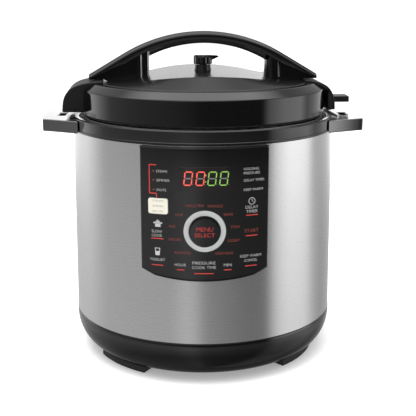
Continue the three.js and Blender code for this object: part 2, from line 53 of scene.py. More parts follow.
SHELL_BOTTOM_Z = 52
SHELL_TOP_Z = 280
SHELL_BOTTOM_R = 161.2
SHELL_TOP_R = 159.4
BASE_R = 161.6
SOLE_R = 128
SOLE_Z = 5.5
SHOULDER_Z = 47             # where the round base meets its straight rim
COLLAR_R = 161
COLLAR_TOP_Z = 296
WELL_R = 152.6

EAR_BOTTOM_Z = 278.6
EAR_TOP_Z = 293.2
EAR_TIP_R = 197
EAR_ROOT_HALF = 66
EAR_TIP_HALF = 43

LUGS = 6
SKIRT_R = 149
SKIRT_BOTTOM_Z = 299
SKIRT_TOP_Z = 327.2
LEDGE_R = 136
LEDGE_Z = 334.7
CROWN_R = 128
CROWN_Z = 347.5
CROWN_CREASE_R = 93         # where the arched top meets the shallow slope round it
CROWN_RIM_Z = 335.2
CROWN_ARCH_R = 370
CROWN_FOOT_Z = 330.5
WALL = 2.6
FLOAT_X = -95               # the float valve's place on the lid
FLOAT_Y = 38
VALVE_LOW_Z = 354.9
VALVE_TOP_Z = 366.3

HANDLE_HALF = 16            # half of the handle's depth
HANDLE_END_X = 139
HANDLE_TOP_Z = 395.1
HANDLE_TOP_R = 190
HANDLE_TOP_ANGLE = 30.5     # where the upper line's arc turns straight
ARCH_TOP_Z = 384.5          # highest point of the arch's lower line
ARCH_R = 172
ARCH_END_X = 93             # where the lower line's arc turns straight
ARCH_FOOT_RUN = 40
ARCH_FOOT_Z = 338.2
POST_LEFT_X = -66
POST_RIGHT_X = 76

PANEL_R = 163.6             # face of the control panel
PANEL_HALF_ANGLE = 25.8
PRINT_SHIFT = -2.9          # the print's middle, from the panel's own middle
PRINT_TOP = 0.09            # print stands this far off the film
PRINT_ROOT = -0.05
RING_Z = 185.7
MENU_HOLE_R = 17.5
KEY_LEFT = -63.2
KEY_RIGHT = -40.6
KEY_LOW_Z = 204.2
KEY_HIGH_Z = 221.6


# ---------------------------------------------------------------- finishes
FINISH = {}


def node(tree, kind, place, **values):
    """Adds a shader node at a place on the sheet and sets its options and sockets.

    A value that is another node's output is linked to the socket.
    """
    made = tree.nodes.new(kind)
    made.location = place
    for key, value in values.items():
        if key in made.bl_rna.properties:
            setattr(made, key, value)
        elif isinstance(value, bpy.types.NodeSocket):
            tree.links.new(value, made.inputs[key.replace("_", " ")])
        else:
            made.inputs[key.replace("_", " ")].default_value = value
    return made


def figure(tree, operation, place, *values):
    """Maths on up to three values, each a number or another node's output."""
    made = node(tree, "ShaderNodeMath", place, operation=operation)
    for socket, value in zip(made.inputs, values):
        if isinstance(value, bpy.types.NodeSocket):
            tree.links.new(value, socket)
        else:
            socket.default_value = value
    return made.outputs[0]


def grain(tree, stretch, scale, detail, place):
    """Noise in object coordinates, stretched along the axes."""
    where = node(tree, "ShaderNodeTexCoord", (place[0] - 400, place[1])).outputs["Object"]
    drawn = node(tree, "ShaderNodeMapping", (place[0] - 200, place[1]), Vector=where, Scale=stretch)
    noise = node(tree, "ShaderNodeTexNoise", place, Vector=drawn.outputs["Vector"], Scale=scale,
                 Detail=detail, Roughness=0.6)
    return noise.outputs["Fac"]


def rings(tree, scale, place):
    """Noise that changes only with the distance from the Z axis, as turned metal shows."""
    where = node(tree, "ShaderNodeTexCoord", (place[0] - 600, place[1])).outputs["Object"]
    flat = node(tree, "ShaderNodeMapping", (place[0] - 400, place[1]), Vector=where, Scale=(1, 1, 0))
    reach = node(tree, "ShaderNodeVectorMath", (place[0] - 200, place[1]), operation="LENGTH",
                 Vector=flat.outputs["Vector"])
    noise = node(tree, "ShaderNodeTexNoise", place, noise_dimensions="1D",
                 W=reach.outputs["Value"], Scale=scale, Detail=4)
    return noise.outputs["Fac"]


def spread(tree, share, low, high, place):
    """Maps noise from its usual 0.3 to 0.7 onto low to high."""
    ramp = node(tree, "ShaderNodeMapRange", place, Value=share, From_Min=0.3, From_Max=0.7,
                To_Min=low, To_Max=high)
    return ramp.outputs["Result"]


def finish(name, colour, rough, vary=0.2, metal=0.0, stretch=(1, 1, 1), scale=300, bump=0.0,
           turned_rings=0, mottle=60, **sockets):
    """A surface: its colour drifts with a broad noise, its roughness and relief with a fine one."""
    made = bpy.data.materials.new(name)
    made.use_nodes = True
    tree = made.node_tree
    shader = tree.nodes["Principled BSDF"]
    shader.inputs["Metallic"].default_value = metal
    for socket, value in sockets.items():
        shader.inputs[socket.replace("_", " ")].default_value = value
    broad = grain(tree, (1, 1, 1), mottle, 3, (-800, 300))
    if turned_rings:
        fine = rings(tree, turned_rings, (-800, -100))
    else:
        fine = grain(tree, stretch, scale, 4, (-800, -100))
    dark = [c * (1 - vary) for c in colour]
    light = [min(c * (1 + vary), 1) for c in colour]
    half = figure(tree, "MULTIPLY", (-650, 100), fine, 0.5)
    both = figure(tree, "MULTIPLY_ADD", (-500, 300), broad, 0.5, half)
    mix = node(tree, "ShaderNodeMix", (-300, 300), data_type="RGBA", A=(*dark, 1), B=(*light, 1),
               Factor=spread(tree, both, 0, 1, (-420, 500)))
    tree.links.new(mix.outputs["Result"], shader.inputs["Base Color"])
    worn = spread(tree, fine, rough * 0.85, rough * 1.15, (-300, 0))
    tree.links.new(worn, shader.inputs["Roughness"])
    if bump:
        relief = node(tree, "ShaderNodeBump", (-300, -300), Height=fine, Strength=0.5,
                      Distance=bump * MM)
        tree.links.new(relief.outputs["Normal"], shader.inputs["Normal"])
    FINISH[name] = made
    return made


def glow(name, colour, strength):
    """A lit display mark: a dark body colour that also gives off light, uneven like a diffuser."""
    finish(name, [c * 0.6 for c in colour], 0.4, mottle=500, Emission_Color=(*colour, 1),
           Emission_Strength=strength)


finish("gloss_black", (0.0016, 0.0016, 0.0018), 0.12, scale=900, bump=0.003, Coat_Weight=0.2,
       Coat_Roughness=0.05)
finish("ear_black", (0.0030, 0.0030, 0.0032), 0.16, scale=900, bump=0.003, Coat_Weight=1.0,
       Coat_Roughness=0.12, Coat_IOR=2.4)
finish("crown_black", (0.0018, 0.0018, 0.0020), 0.24, scale=900, bump=0.003)
finish("wing_black", (0.006, 0.006, 0.0065), 0.50, scale=1800, bump=0.02, Specular_IOR_Level=0.3)
finish("satin_black", (0.0045, 0.0045, 0.005), 0.42, scale=2200, bump=0.03)
finish("brushed_shell", (0.61, 0.61, 0.615), 0.27, vary=0.03, metal=1.0, stretch=(1, 1, 90), scale=70,
       bump=0.0012, mottle=9, Anisotropic=0.75, Anisotropic_Rotation=0.25)
finish("pot_steel", (0.62, 0.62, 0.63), 0.22, vary=0.08, metal=1.0, turned_rings=1600, bump=0.008)
finish("cast_aluminium", (0.42, 0.43, 0.44), 0.42, metal=1.0, scale=500, bump=0.05)
finish("nonstick", (0.035, 0.036, 0.040), 0.38, vary=0.5, scale=1400, bump=0.03, mottle=900)
finish("silicone", (0.62, 0.61, 0.57), 0.5, vary=0.05, scale=700, bump=0.02, Subsurface_Weight=0.1,
       Subsurface_Scale=0.004)
finish("foot_rubber", (0.012, 0.012, 0.012), 0.75, scale=1500, bump=0.06)
finish("fascia_film", (0.0018, 0.0018, 0.0020), 0.10, scale=1200, bump=0.001, Coat_Weight=0.15,
       Coat_Roughness=0.04)
finish("display_tint", (0.007, 0.0045, 0.0045), 0.08, scale=800, mottle=25)
finish("silver_trim", (0.46, 0.47, 0.47), 0.45, vary=0.08, metal=0.2, scale=1200, bump=0.01)
finish("cream_key", (0.70, 0.67, 0.57), 0.38, vary=0.06, scale=1500, bump=0.01)
finish("board", (0.010, 0.10, 0.04), 0.45, vary=0.5, scale=220, bump=0.05, mottle=350)
finish("brass_parts", (0.50, 0.34, 0.12), 0.25, metal=1.0, turned_rings=2500, bump=0.006)
finish("float_red", (0.42, 0.016, 0.012), 0.35, scale=900, bump=0.01)
finish("print_white", (0.46, 0.46, 0.45), 0.5, vary=0.1, scale=1500)
finish("print_red", (0.55, 0.030, 0.022), 0.5, vary=0.12, scale=1500)
finish("print_dim_red", (0.27, 0.036, 0.022), 0.5, vary=0.12, scale=1500)
finish("print_grey", (0.16, 0.16, 0.16), 0.5, vary=0.1, scale=1500)
glow("digit_red", (0.85, 0.09, 0.06), 0.85)
glow("digit_green", (0.20, 0.42, 0.07), 0.75)


# ---------------------------------------------------------------- surfaces
def grid_faces(rows, columns, wrap_rows=False, wrap_columns=False):
    """Quads between neighbours (i, j) of a grid whose rows and columns may close on themselves."""
    i, j = np.meshgrid(np.arange(rows - (not wrap_rows)), np.arange(columns - (not wrap_columns)),
                       indexing="ij")
    down, right = (i + 1) % rows, (j + 1) % columns
    quads = [i * columns + j, i * columns + right, down * columns + right, down * columns + j]
    return np.stack(quads, -1).reshape(-1, 4).tolist()


def soft(points, radius, closed=True, steps=4):
    """Outline with round corners: each corner P becomes (1-t)^2 A + 2t(1-t) P + t^2 B.

    A and B lie a radius away from P on its two edges, or nearer on a short edge. A point just
    outside each keeps the flats flat.
    """
    corner = np.asarray(points, float)
    back = np.roll(corner, 1, 0) - corner
    on = np.roll(corner, -1, 0) - corner
    back_length = np.maximum(np.linalg.norm(back, axis=1, keepdims=True), 1e-9)
    on_length = np.maximum(np.linalg.norm(on, axis=1, keepdims=True), 1e-9)
    wanted = np.broadcast_to(radius, len(corner))[:, None]
    cut = np.minimum(wanted, 0.42 * np.minimum(back_length, on_length))
    a = corner + back / back_length * cut
    b = corner + on / on_length * cut
    t = np.linspace(0, 1, steps + 1)[None, :, None]
    curve = (1 - t) ** 2 * a[:, None] + 2 * t * (1 - t) * corner[:, None] + t ** 2 * b[:, None]
    lead = (corner + back / back_length * cut * 1.12)[:, None]
    trail = (corner + on / on_length * cut * 1.12)[:, None]
    rounded = np.concatenate([lead, curve, trail], 1)
    if closed:
        return rounded.reshape(-1, 2)
    return np.concatenate([corner[:1], rounded[1:-1].reshape(-1, 2), corner[-1:]])


def turned(profile, segments=180, shape=None):
    """Profile (r, z) carried round Z as (r cos a, r sin a, z); shape may move r and z by the angle."""
    profile = np.asarray(profile, float)
    angle = np.linspace(0, 2 * np.pi, segments, endpoint=False)[None, :]
    r = np.repeat(profile[:, :1], segments, 1)
    z = np.repeat(profile[:, 1:], segments, 1)
    if shape:
        r, z = shape(r, z, angle)
    points = np.stack([r * np.cos(angle), r * np.sin(angle), z], -1).reshape(-1, 3)
    on_axis = profile[0, 0] < 1e-6 and profile[-1, 0] < 1e-6
    return points, grid_faces(len(profile), segments, not on_axis, True)


def swept(sections):
    """Closed sections (m, n, 3) joined in a row, each end drawn in to the middle of its section."""
    sections = np.asarray(sections, float)
    middle = sections.mean(1, keepdims=True)
    near = middle + (sections - middle) * 0.93
    point = np.repeat(middle, sections.shape[1], 1)
    rows = np.concatenate([point[:1], near[:1], sections, near[-1:], point[-1:]])
    return rows.reshape(-1, 3), grid_faces(len(rows), rows.shape[1], wrap_columns=True)


def slab(outline, low, high, across="y"):
    """Flat outline carried straight from low to high along one axis, with both ends closed."""
    outline = np.asarray(outline, float)
    count = len(outline)
    ring = np.arange(count)
    following = np.roll(ring, -1)

    def layer(level):
        first, second, flat = outline[:, 0], outline[:, 1], np.full(count, float(level))
        return np.stack([first, flat, second] if across == "y" else [first, second, flat], -1)

    sides = np.stack([ring, following, following + count, ring + count], -1).tolist()
    points = np.concatenate([layer(low), layer(high)])
    return points, sides + [ring[::-1].tolist(), (ring + count).tolist()]


def block(low, high):
    """Box between two corners."""
    outline = [(low[0], low[1]), (high[0], low[1]), (high[0], high[1]), (low[0], high[1])]
    return slab(outline, low[2], high[2], across="z")


def several(*solids):
    """Several solids as one set of points and faces."""
    points, faces, count = [], [], 0
    for solid_points, solid_faces in solids:
        points.append(np.asarray(solid_points, float))
        faces += [[v + count for v in face] for face in solid_faces]
        count += len(solid_points)
    return np.concatenate(points), faces


def on_lid(solid):
    """The solid turned about Z with the closed lid: (x cos t - y sin t, x sin t + y cos t, z)."""
    points, faces = solid
    turn = math.radians(LID_TURN)
    x, y, z = np.asarray(points, float).T
    across = x * math.cos(turn) - y * math.sin(turn)
    return np.stack([across, x * math.sin(turn) + y * math.cos(turn), z], -1), faces


def bore(radius, low, high, segments=32):
    """Round bar on the Z axis."""
    return turned([(0, low), (radius, low), (radius, high), (0, high)], segments)


def at_float(solid):
    """A solid made on the Z axis, moved to the float valve's place on the turned lid."""
    points, faces = solid
    return on_lid((points + (FLOAT_X, FLOAT_Y, 0), faces))


def bare_object(name, solid, crease=35):
    """A mesh object in metres: doubles merged, faces outwards, and sharp only past the crease angle."""
    points, faces = solid
    mesh = bpy.data.meshes.new(name)
    mesh.from_pydata((np.asarray(points) * MM).tolist(), [], faces)
    work = bmesh.new()
    work.from_mesh(mesh)
    bmesh.ops.remove_doubles(work, verts=work.verts, dist=1e-7)
    bmesh.ops.recalc_face_normals(work, faces=work.faces)
    work.to_mesh(mesh)
    work.free()
    mesh.polygons.foreach_set("use_smooth", np.ones(len(mesh.polygons), bool))
    mesh.set_sharp_from_angle(angle=math.radians(crease))
    made = bpy.data.objects.new(name, mesh)
    bpy.context.scene.collection.objects.link(made)
    return made


def cut_away(made, solid):
    """Takes a solid out of an object's mesh."""
    tool = bare_object(made.name + "_tool", solid)
    step = made.modifiers.new("cut", "BOOLEAN")
    step.object = tool
    step.operation = "DIFFERENCE"
    step.solver = "EXACT"
    ready = made.evaluated_get(bpy.context.evaluated_depsgraph_get())
    result = bpy.data.meshes.new_from_object(ready)
    made.modifiers.clear()
    made.data = result
    bpy.data.objects.remove(tool)


def piece(name, solid, body, look, replaces=(), bevel=0.0, holes=(), crease=35):
    """Makes a solid into a finished piece that rides on a body."""
    made = bare_object(name, solid, crease)
    for hole in holes:
        cut_away(made, hole)
        made.data.set_sharp_from_angle(angle=math.radians(crease))
    if bevel:
        edge = made.modifiers.new("edge", "BEVEL")
        edge.width = bevel * MM
        edge.segments = 3
        edge.limit_method = "ANGLE"
        edge.angle_limit = math.radians(35)
        edge.harden_normals = True
    made.data.materials.clear()
    made.data.materials.append(FINISH[look])
    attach(made, body)
    if replaces:
        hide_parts(*replaces)
    return made


# ---------------------------------------------------------------- base
def flank(offset=0.0, steps=28):
    """Quarter ellipse from the sole's edge up to the shell's foot, moved inwards by an offset."""
    angle = np.linspace(0, np.pi / 2, steps + 1)
    r = SOLE_R + (BASE_R - SOLE_R) * np.sin(angle) - offset
    z = SHOULDER_Z - (SHOULDER_Z - SOLE_Z) * np.cos(angle)
    z[0] += offset
    return np.stack([r, z], -1)


def build_base():
    """Shell, round base, feet, collar and side handles."""
    shell = soft([(SHELL_BOTTOM_R - 1, SHELL_BOTTOM_Z + 0.3), (SHELL_BOTTOM_R, SHELL_BOTTOM_Z + 0.3),
                  (SHELL_TOP_R, SHELL_TOP_Z - 0.3), (SHELL_TOP_R - 1, SHELL_TOP_Z - 0.3)], 0.4)
    inlet_hole = block((-16.3, 130, 59.7), (16.3, 175, 86.3))
    piece("steel_shell", turned(shell, 240), "base", "brushed_shell", replaces=["outer_shell"],
          holes=[inlet_hole])

    rim = [(BASE_R, SHELL_BOTTOM_Z - 0.9), (BASE_R - 0.5, SHELL_BOTTOM_Z), (BASE_R - 3, SHELL_BOTTOM_Z)]
    sole_edge_r, thick = 118, 3
    inner_foot = [(sole_edge_r, SOLE_Z + thick), (sole_edge_r, SOLE_Z)]
    profile = np.concatenate([flank(), rim, flank(thick, 16)[::-1], inner_foot])
    piece("base_moulding", turned(profile, 240), "base", "gloss_black", replaces=["base_shell"])

    foot_inner_r, foot_outer_r, foot_half_angle = 119, 141, 16.3
    reach = np.linspace(foot_inner_r, foot_outer_r, 12)
    angle = np.arcsin(np.clip((reach - SOLE_R) / (BASE_R - SOLE_R), 0, 1))
    roof = SHOULDER_Z - (SHOULDER_Z - SOLE_Z) * np.cos(angle) - 0.3
    pad = np.concatenate([[(foot_outer_r, 0), (foot_inner_r, 0)], np.stack([reach, roof], -1)])
    pad = soft(pad, 0.9, steps=3)
    for index, heading in enumerate([-137, 43, -31, 149]):
        turn = np.linspace(heading - foot_half_angle, heading + foot_half_angle, 25)
        turn = np.radians(turn)[:, None]
        r, z = pad[None, :, 0], pad[None, :, 1]
        sections = np.stack([r * np.cos(turn), r * np.sin(turn), z + 0 * turn], -1)
        piece(f"rubber_foot_{index + 1}", swept(sections), "base", "foot_rubber",
              replaces=[f"foot_{index + 1}"], crease=40)

    collar = soft([(COLLAR_R - 1.4, SHELL_TOP_Z), (COLLAR_R, SHELL_TOP_Z + 0.4),
                   (COLLAR_R, SHELL_TOP_Z + 2.2), (COLLAR_R - 0.7, SHELL_TOP_Z + 2.9),
                   (COLLAR_R - 0.5, COLLAR_TOP_Z - 1.2), (COLLAR_R - 1.9, COLLAR_TOP_Z),
                   (WELL_R + 0.8, COLLAR_TOP_Z - 1.2), (WELL_R, COLLAR_TOP_Z - 2),
                   (WELL_R, SHELL_TOP_Z + 5), (148, SHELL_TOP_Z + 5), (148, SHELL_TOP_Z)],
                  [0.4, 0.4, 0.4, 0.4, 0.9, 0.7, 0.4, 0.5, 0.5, 0.5, 0.5])

    def saddle(r, z, angle):
        """Over the side handles, w = 1 / (1 + exp(k (|sin a| - reach))), the edge flares out."""
        flare, dip, reach = 7, 0.9, 0.33
        edge_r = COLLAR_R - 2.5
        w = 1 / (1 + np.exp(np.clip((np.abs(np.sin(angle)) - reach) * 90, -60, 60)))
        rows = (r > edge_r) & (z > COLLAR_TOP_Z - 2.6)
        share = w * np.clip((r - edge_r) / 2, 0, 1)
        return np.where(rows, r + flare * share, r), np.where(rows, z - dip * share, z)

    piece("collar", turned(collar, 360, saddle), "base", "gloss_black", replaces=["collar_ring"])
    for side, label in ((1, "right"), (-1, "left")):
        piece(f"side_handle_{label}_cover", ear(side), "base", "ear_black",
              replaces=[f"side_handle_{label}"], bevel=1.3, holes=[ear_slot(side)])


def ear(side):
    """Side handle: arc of the collar, two tapering sides and an arc at the tip, carried along Z."""
    root = COLLAR_R + 0.3
    root_angle = math.asin(EAR_ROOT_HALF / root)
    tip_angle = math.asin(EAR_TIP_HALF / EAR_TIP_R)
    inner = np.linspace(root_angle, -root_angle, 25)
    outer = np.linspace(-tip_angle, tip_angle, 25)
    tip_corner = np.array([[EAR_TIP_R * math.cos(tip_angle) - 5, -EAR_TIP_HALF - 1.5]])
    outline = np.concatenate([
        root * np.stack([np.cos(inner), np.sin(inner)], -1), tip_corner,
        EAR_TIP_R * np.stack([np.cos(outer), np.sin(outer)], -1), tip_corner * (1, -1),
    ])
    return slab(outline * side, EAR_BOTTOM_Z, EAR_TOP_Z, across="z")


def ear_slot(side):
    """Slot through a side handle, near its root."""
    half = 14
    low, high = sorted((side * 169.7, side * 178.3))
    return block((low, -half, EAR_BOTTOM_Z - 5), (high, half, EAR_TOP_Z + 5))


def lugged(half_angle, depth, where):
    """Shape for turned(): the rows that where() picks move by depth at each lug."""
    def shape(r, z, angle):
        """Window w = 1 / (1 + exp(k (|a| - half))), with a the angle from the nearest lug."""
        pitch = 2 * np.pi / LUGS
        away = np.abs((angle - math.radians(LID_TURN) + pitch / 2) % pitch - pitch / 2)
        window = 1 / (1 + np.exp(np.clip((away - math.radians(half_angle)) * 400, -60, 60)))
        return np.where(where(r, z), r + depth * window, r), z
    return shape


def build_inside():
    """Pressure vessel, cooking pot and its fill marks, hot plate and sensor."""
    top = 294.5
    flange_low, flange_top = 285.3, 286.8
    vessel = soft([(145.5, 67.5), (60, 67.5), (60, 66), (147, 66), (147, flange_low),
                   (152.3, flange_low), (152.3, flange_top), (147, flange_top), (147, top),
                   (145.4, top), (145.4, 291.5), (145.5, 291)], 0.5, steps=2)
    lugs = lugged(14, -4.4, lambda r, z: (z > 291.3) & (r < 146))
    piece("vessel", turned(vessel, 360, lugs), "base", "cast_aluminium", replaces=["outer_pot"])

    pot = soft([(0, 84), (135.5, 84), (135.5, 283), (140.3, 283), (140.3, 284.5), (134, 284.5),
                (134, 85.5), (0, 85.5)], [0, 12, 1, 0.6, 0.6, 1.5, 12, 0], closed=False, steps=8)
    piece("cooking_pot", turned(pot, 200), "pot", "nonstick", replaces=["inner_pot"])
    marks = [block((-134.2, -w, z), (-133.5, w, z + 0.7)) for z, w in
             ((130, 5), (155, 5), (180, 8), (205, 5), (230, 5), (255, 8))]
    piece("fill_marks", several(*marks), "pot", "print_white")

    plate_top = 83.7
    plate = soft([(17, 68), (58, 68), (58, plate_top - 9), (98, plate_top - 6), (98, plate_top),
                  (17, plate_top)], 1.0)
    piece("hot_plate", turned(plate, 120), "base", "cast_aluminium", replaces=["heating_plate"])
    cap = soft([(0, 73), (12, 73), (12, 82), (10.5, plate_top), (0, plate_top)], 1.2, closed=False)
    piece("sensor_cap", turned(cap, 64), "sensor", "cast_aluminium", replaces=["temperature_sensor"])


# ---------------------------------------------------------------- control panel
def on_panel(arc, z, lift=0.0):
    """Point of the panel's face: arc millimetres along it from its middle, lifted off it."""
    angle = np.asarray(arc, float) / PANEL_R
    reach = PANEL_R + np.asarray(lift, float)
    return np.stack(np.broadcast_arrays(reach * np.sin(angle), -reach * np.cos(angle), z), -1)


def panel_film():
    """Face of the panel as a grid of arc and height; its rim rolls back by a round edge."""
    half = math.radians(PANEL_HALF_ANGLE) * PANEL_R
    top = SHELL_TOP_Z - 1
    foot_z, bend_z, corner_z = 127.5, 132.5, 139.5
    bend = 20 / PANEL_HALF_ANGLE
    across = np.linspace(-1, 1, 121)[:, None]
    up = np.linspace(0, 1, 81)[None, :]
    away = np.abs(across)
    slant = bend_z + (corner_z - bend_z) * (away - bend) / (1 - bend)
    low = np.where(away > bend, slant, foot_z + (bend_z - foot_z) * (away / bend) ** 2)
    height = low + (top - low) * up
    to_side = (1 - away) * half
    to_edge = np.minimum(np.minimum(to_side + 0 * up, height - low), top - height)
    roll, roll_depth, thick = 1.1, 0.9, 1.7
    edge = np.clip(to_edge / roll, 0, 1)
    lift = -roll_depth * (1 - np.sqrt(1 - (1 - edge) ** 2))
    face = on_panel(across * half, height, lift)
    back = on_panel(across * half, height, 0 * lift - thick)
    rows, columns = face.shape[:2]
    quads = np.array(grid_faces(rows, columns))
    index = np.arange(rows * columns).reshape(rows, columns)
    rim = np.concatenate([index[:, 0], index[-1, 1:], index[-2::-1, -1], index[0, -2:0:-1]])
    following = np.roll(rim, -1)
    count = rows * columns
    walls = np.stack([rim, following, following + count, rim + count], -1)
    faces = np.concatenate([quads, quads[:, ::-1] + count, walls]).tolist()
    return np.concatenate([face.reshape(-1, 3), back.reshape(-1, 3)]), faces


def ribbon(path, width, closed=False):
    """Flat stroke on the panel: the path (arc, z) offset to both sides along its normals."""
    path = np.asarray(path, float)
    if closed:
        run = np.roll(path, -1, 0) - np.roll(path, 1, 0)
    else:
        run = np.gradient(path, axis=0)
    run = run / np.linalg.norm(run, axis=1, keepdims=True)
    aside = np.stack([-run[:, 1], run[:, 0]], -1) * width / 2
    ring = [path + aside, path - aside, path - aside, path + aside]
    lifts = [PRINT_TOP, PRINT_TOP, PRINT_ROOT, PRINT_ROOT]
    sections = np.stack([on_panel(p[:, 0], p[:, 1], lift) for p, lift in zip(ring, lifts)], 1)
    if closed:
        return sections.reshape(-1, 3), grid_faces(len(sections), 4, True, True)
    return swept(sections)


def line(start, end, width, steps=9):
    """Straight stroke between two points (arc, z)."""
    return ribbon(np.linspace(start, end, steps), width)


def circle(centre, radius, width):
    """Round stroke: centre + radius (cos a, sin a)."""
    angle = np.linspace(0, 2 * np.pi, 28, endpoint=False)
    path = np.stack([centre[0] + radius * np.cos(angle), centre[1] + radius * np.sin(angle)], -1)
    return ribbon(path, width, closed=True)


def word(text, arc, z, width, height):
    """A generic word as thin raised print, fitted to a width and centred on a point of the panel."""
    curve = bpy.data.curves.new("word", "FONT")
    curve.body = text
    curve.extrude = 0.02
    curve.offset = -0.014
    curve.resolution_u = 3
    holder = bpy.data.objects.new("word", curve)
    mesh = bpy.data.meshes.new_from_object(holder)
    mesh.calc_loop_triangles()
    flat = np.empty(len(mesh.vertices) * 3)
    mesh.vertices.foreach_get("co", flat)
    corners = np.empty(len(mesh.loop_triangles) * 3, int)
    mesh.loop_triangles.foreach_get("vertices", corners)
    flat = flat.reshape(-1, 3)
    low, high = flat.min(0), flat.max(0)
    across = arc + ((flat[:, 0] - low[0]) / (high[0] - low[0]) - 0.5) * width
    up = z + ((flat[:, 1] - low[1]) / (high[1] - low[1]) - 0.5) * height
    lift = np.where(flat[:, 2] > 0, PRINT_TOP, PRINT_ROOT)
    bpy.data.objects.remove(holder)
    bpy.data.curves.remove(curve)
    bpy.data.meshes.remove(mesh)
    return on_panel(across, up, lift), corners.reshape(-1, 3).tolist()


def digit(left, unlit=False):
    """Seven-segment nought, slanted: its six lit strokes, or its unlit middle bar and point."""
    low, middle, high = 237.6, 244.9, 252.2
    slant = 0.12
    width = 8.2
    start = left + PRINT_SHIFT + 1.2

    def at(x, z):
        return np.array((start + x + (z - low) * slant, z))

    ends = [((0, high), (width, high)), ((0, low), (width, low)), ((0, high), (0, middle)),
            ((width, high), (width, middle)), ((0, middle), (0, low)), ((width, middle), (width, low))]
    if unlit:
        ends = [((0, middle), (width, middle)), ((width + 1.6, low - 0.4), (width + 1.7, low + 1.4))]
    strokes = []
    for first, last in ends:
        a, b = at(*first), at(*last)
        gap = (b - a) / np.linalg.norm(b - a) * 0.75
        strokes.append(line(a + gap, b - gap, 1.25, 5))
    return several(*strokes)


def build_panel():
    """Film with its two openings, display window, menu ring and the two keys."""
    key_arc = np.linspace(KEY_LEFT - 0.3, KEY_RIGHT + 0.3, 13)
    key_edge = on_panel(key_arc, 0.0)[:, :2]
    key_hole = slab(np.concatenate([key_edge * 1.05, key_edge[::-1] * 0.95]), KEY_LOW_Z - 0.3,
                    KEY_HIGH_Z + 0.3, across="z")
    bar, bar_faces = bore(MENU_HOLE_R, -20, 20, 96)
    x, y, z = bar.T
    menu_hole = (np.stack([x, z - PANEL_R, y + RING_Z], -1), bar_faces)
    piece("panel_film", panel_film(), "base", "fascia_film", replaces=["panel_fascia"],
          holes=[key_hole, menu_hole])

    window = soft([(-28.5, 231.5), (28.5, 231.5), (28.5, 257.5), (-28.5, 257.5)], 1.5)
    piece("display_window", curved_tile(window, 0.05, 0.55), "base", "display_tint",
          replaces=["display_lens"])

    ring_section = soft([(17.8, -0.1), (23.5, -0.1), (23.3, 1.0), (20.6, 1.6), (17.9, 1.0)], 0.5)
    piece("silver_ring", on_face(turned(ring_section, 120)), "base", "silver_trim",
          replaces=["menu_ring"])
    button = soft([(0, -0.6), (17.2, -0.6), (17.2, 1.2), (15.5, 1.5), (9, 1.6), (0, 1.6)],
                  [0, 0.2, 0.5, 1, 2, 0], closed=False)
    piece("menu_button", on_face(turned(button, 96)), "menu_button", "fascia_film",
          replaces=["menu_key"])
    key_outline = soft([(KEY_LEFT, KEY_LOW_Z), (KEY_RIGHT, KEY_LOW_Z), (KEY_RIGHT, KEY_HIGH_Z),
                        (KEY_LEFT, KEY_HIGH_Z)], 2.6)
    piece("mode_button", curved_tile(key_outline, -0.6, 1.5), "mode_button", "cream_key",
          replaces=["mode_key"])


def lifted(solid, lift):
    """A thin solid moved outwards from the panel's axis: (x, y) times (r + lift) / r."""
    points, faces = solid
    points = np.array(points, float)
    reach = np.linalg.norm(points[:, :2], axis=1, keepdims=True)
    points[:, :2] *= (reach + lift) / reach
    return points, faces


def build_digits():
    """Lit red and green digits, the dots between them and the unlit strokes, on the window."""
    red_left, green_left = (-21.2, -8.0), (4.9, 17.8)
    dots = [line((4.0 + PRINT_SHIFT, z - 0.6), (4.1 + PRINT_SHIFT, z + 0.6), 1.3, 3)
            for z in (241.5, 248.5)]
    for name, parts, look in (
            ("digits_red", [digit(left) for left in red_left], "digit_red"),
            ("digits_green", [digit(left) for left in green_left] + dots, "digit_green"),
            ("digits_unlit", [digit(left, True) for left in red_left + green_left], "print_grey")):
        piece(name, lifted(several(*parts), 0.5), "base", look)


def words(rows):
    """Words from rows of (text, arc, height on the panel, width, letter height)."""
    return several(*[word(text, arc + PRINT_SHIFT, *rest) for text, arc, *rest in rows])


def bars(rows):
    """Straight strokes from rows of (arc, z, arc, z, width)."""
    return [line((a + PRINT_SHIFT, z), (b + PRINT_SHIFT, w), wide, 5) for a, z, b, w, wide in rows]


